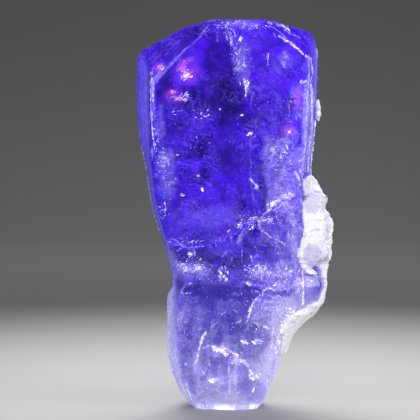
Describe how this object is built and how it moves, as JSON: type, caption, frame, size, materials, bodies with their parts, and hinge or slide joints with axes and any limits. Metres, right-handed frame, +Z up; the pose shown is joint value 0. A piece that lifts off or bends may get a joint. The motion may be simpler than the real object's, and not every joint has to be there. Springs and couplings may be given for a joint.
{
  "type": "rough tanzanite crystal",
  "caption": "Rough violet-blue tanzanite prism with a bevelled top, a broken waist and white rock matrix on one side, standing on a small flat foot.",
  "frame": {"origin": "middle of the specimen's bounding box, on the flat foot that it stands on", "axes": "+Z up along the crystal's length, -Y out of its broad front face, +X towards the side that carries the matrix"},
  "size_m": [0.0118, 0.0069, 0.0231],
  "materials": {
    "tanzanite": "glossy transparent violet-blue crystal, deep at the top and pale at the foot, with frosted breaks",
    "matrix": "rough sugary white rock"
  },
  "bodies": {
    "root": {"tanzanite_crystal": "tanzanite", "matrix_crust": "matrix", "matrix_chip": "matrix"}
  },
  "joints": []
}
